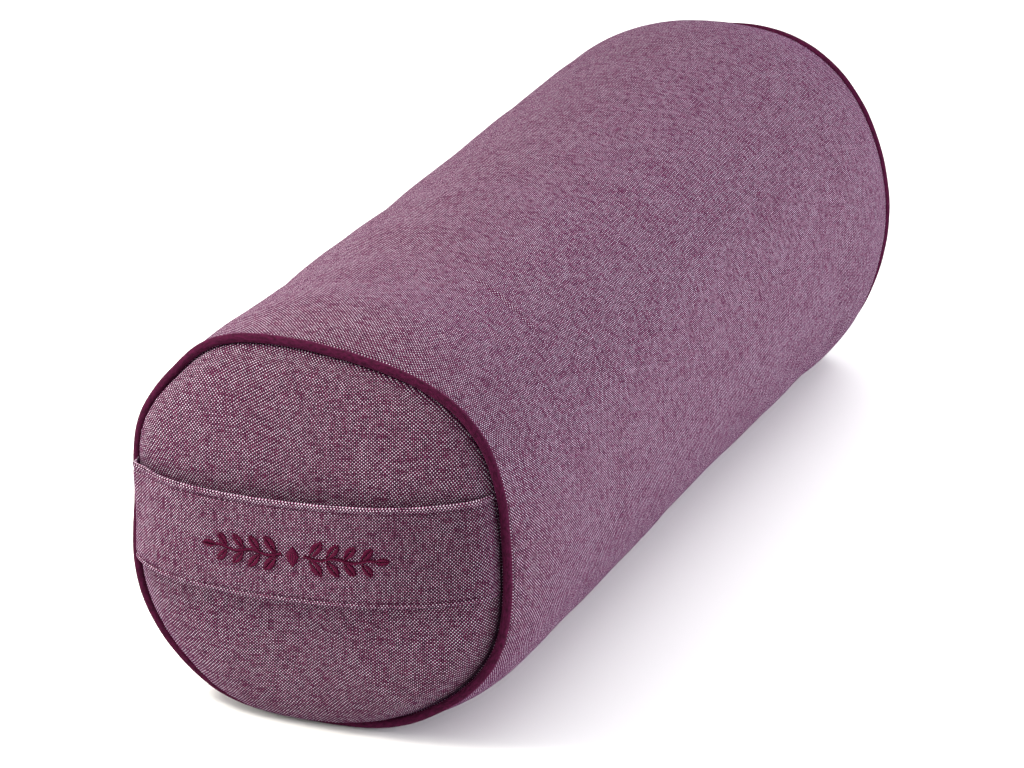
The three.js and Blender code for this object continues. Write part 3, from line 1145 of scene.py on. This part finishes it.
class BOLSTER_OT_embroidery(Operator):
    """Embroider a plain sprig of leaves on the band"""

    bl_idname = "bolster.embroidery"
    bl_label = "Embroidery"

    def execute(self, context):
        self.paths = []
        for side in (-1, 1):
            self.stem(side)
            for count in range(LEAF_PAIRS):
                base = FIRST_LEAF + count * LEAF_STEP
                for slant in (-1, 1):
                    self.leaf(side, base, slant, LEAF_LENGTH[0] - LEAF_LENGTH[1] * count)
            self.leaf(side, LAST_LEAF[0], 0, LAST_LEAF[1])
        self.lozenge()
        piece = threads("band_embroidery", self.paths, EMBROIDERY_THREAD)
        finish_piece(piece, embroidery_thread(), "piping")
        return {"FINISHED"}

    def satin(self, first, second, height):
        """One thread from edge to edge, arched over the padding."""
        share = np.linspace(0, 1, 7)
        p = first[0] + (second[0] - first[0]) * share
        q = first[1] + (second[1] - first[1]) * share
        arch = height * np.sqrt(np.maximum(0, 1 - (2 * share - 1) ** 4)) - 0.12
        self.paths.append(on_band(p, q - SPRIG_DROP, arch))

    def bend(self, place):
        return STEM_BEND * math.sin(place / LEAF_STEP * math.pi)

    def stem(self, side):
        ahead, aside = STEM_HALF
        for place in np.arange(*STEM):
            middle = self.bend(place)
            start = (side * (place - ahead), middle - aside)
            self.satin(start, (side * (place + ahead), middle + aside), 0.7)

    def leaf(self, side, base, slant, length):
        """A leaf of slanting threads on both sides of its rib."""
        lean = slant * math.radians(LEAF_LEAN)
        ahead = np.array([math.cos(lean), math.sin(lean)])
        aside = np.array([-ahead[1], ahead[0]])
        foot = np.array([base, self.bend(base) * 0.5])
        foot = foot + ahead * 0.9
        for place in np.arange(0.0, length, LEAF_SPACING):
            share = place / length
            width = LEAF_WIDTH * length * math.sin(math.pi * share**0.8)
            if width < 0.25:
                continue
            rib = foot + ahead * place
            for edge in (-1, 1):
                tip = rib + ahead * width * 0.55 + aside * edge * width
                start = rib + aside * edge * 0.08
                self.satin((side * start[0], start[1]), (side * tip[0], tip[1]), 0.75)

    def lozenge(self):
        for place in np.arange(-5.6, 5.61, LEAF_SPACING):
            width = (LOZENGE_HALF - abs(place)) * 0.8
            self.satin((-width, place), (width, place), 0.8)


# The studio: lamps with their place and aim in m, size in m, power in W and tint, and the
# camera, which looks from the front right, a little down on the near end
FLOOR_REACH = 12.0
FLOOR_DROP = 0.0002
SKY_STRENGTH = 1.0
WARM, PLAIN, COOL = (1.0, 0.98, 0.88), (1.0, 1.0, 1.0), (0.97, 0.95, 1.05)
NEAR_END, OVER_MIDDLE = (0, -0.3, 0.1), (0, 0, 0.1)
LAMPS = (
    ("near_softbox", (-0.45, -0.55, 0.75), NEAR_END, 0.3, 8.6, WARM),
    ("low_left_softbox", (-1.2, -0.8, 0.45), NEAR_END, 0.5, 9.6, WARM),
    ("left_softbox", (-0.7, -0.2, 1.2), (0, -0.2, 0.1), 0.5, 10.5, WARM),
    ("right_softbox", (1.3, 0.2, 0.25), OVER_MIDDLE, 0.6, 20.5, COOL),
    ("back_softbox", (0, 2.4, 1.8), OVER_MIDDLE, 2.0, 40.0, PLAIN),
)
LENS = 173.65
CAMERA_TURN = 22.33
CAMERA_LIFT = 21.58
CAMERA_AIM = (-0.01584, 0, 0.07658)
CAMERA_DISTANCE = 2.79667


def look_along(thing, run):
    """Turns a lamp or a camera."""
    thing.rotation_mode = "QUATERNION"
    thing.rotation_quaternion = run.to_track_quat("-Z", "Y")


class BOLSTER_OT_stage(Operator):
    """Set the floor, the studio light and the camera"""

    bl_idname = "bolster.stage"
    bl_label = "Studio"

    def execute(self, context):
        self.floor()
        self.light(context)
        self.camera(context)
        return {"FINISHED"}

    def floor(self):
        mesh = bpy.data.meshes.new("studio_floor")
        far = FLOOR_REACH
        corners = [(-far, -far, 0), (far, -far, 0), (far, far, 0), (-far, far, 0)]
        mesh.from_pydata(corners, [], [(0, 1, 2, 3)])
        floor = placed("studio_floor", mesh)
        floor.location.z = -FLOOR_DROP
        mesh.materials.append(Wiring("pale_floor").finish((0.92, 0.92, 0.92, 1), 0.7, 0.2))

    def light(self, context):
        world = bpy.data.worlds.new("studio")
        world.use_nodes = True
        sky = world.node_tree.nodes["Background"]
        sky.inputs["Color"].default_value = (1, 1, 1, 1)
        sky.inputs["Strength"].default_value = SKY_STRENGTH
        context.scene.world = world
        for name, place, aim, size, power, tint in LAMPS:
            data = bpy.data.lights.new(name, "AREA")
            data.shape = "SQUARE"
            data.size = size
            data.energy = power
            data.color = tint
            lamp = placed(name, data)
            lamp.location = place
            look_along(lamp, Vector(aim) - Vector(place))
        context.scene.view_settings.view_transform = "Standard"

    def camera(self, context):
        data = bpy.data.cameras.new("camera")
        data.sensor_width = 36.0
        data.lens = LENS
        data.clip_end = 60.0
        camera = placed("camera", data)
        turn, lift = math.radians(CAMERA_TURN), math.radians(CAMERA_LIFT)
        level = math.cos(lift)
        back = Vector((math.sin(turn) * level, -math.cos(turn) * level, math.sin(lift)))
        aim = Vector(CAMERA_AIM) + Vector(in_frame())
        camera.location = aim + back * CAMERA_DISTANCE
        look_along(camera, -back)
        context.scene.camera = camera


class BOLSTER_PT_sidebar(Panel):
    """Lists the bolster's sizes, colours and pieces"""

    bl_idname = "BOLSTER_PT_sidebar"
    bl_label = "Yoga bolster"
    bl_space_type = "VIEW_3D"
    bl_region_type = "UI"
    bl_category = "Bolster"

    def draw(self, context):
        for group in (context.scene.bolster_sizes, context.scene.bolster_colours):
            box = self.layout.box()
            for key in group.__annotations__:
                box.prop(group, key)
        for step in PIECES:
            self.layout.operator(step.bl_idname)


PIECES = (
    BOLSTER_OT_long_panel,
    BOLSTER_OT_end_panels,
    BOLSTER_OT_piping,
    BOLSTER_OT_carrying_band,
    BOLSTER_OT_topstitching,
    BOLSTER_OT_embroidery,
    BOLSTER_OT_stage,
)
CLASSES = (BolsterSizes, BolsterColours, *PIECES, BOLSTER_PT_sidebar)


def register():
    for kind in CLASSES:
        bpy.utils.register_class(kind)
    bpy.types.Scene.bolster_sizes = PointerProperty(type=BolsterSizes)
    bpy.types.Scene.bolster_colours = PointerProperty(type=BolsterColours)


def unregister():
    del bpy.types.Scene.bolster_colours
    del bpy.types.Scene.bolster_sizes
    for kind in reversed(CLASSES):
        bpy.utils.unregister_class(kind)


def main():
    register()
    bpy.ops.bolster.long_panel()
    bpy.ops.bolster.end_panels()
    bpy.ops.bolster.piping()
    bpy.ops.bolster.carrying_band()
    bpy.ops.bolster.topstitching()
    bpy.ops.bolster.embroidery()
    bpy.ops.bolster.stage()


if __name__ == "__main__":
    main()
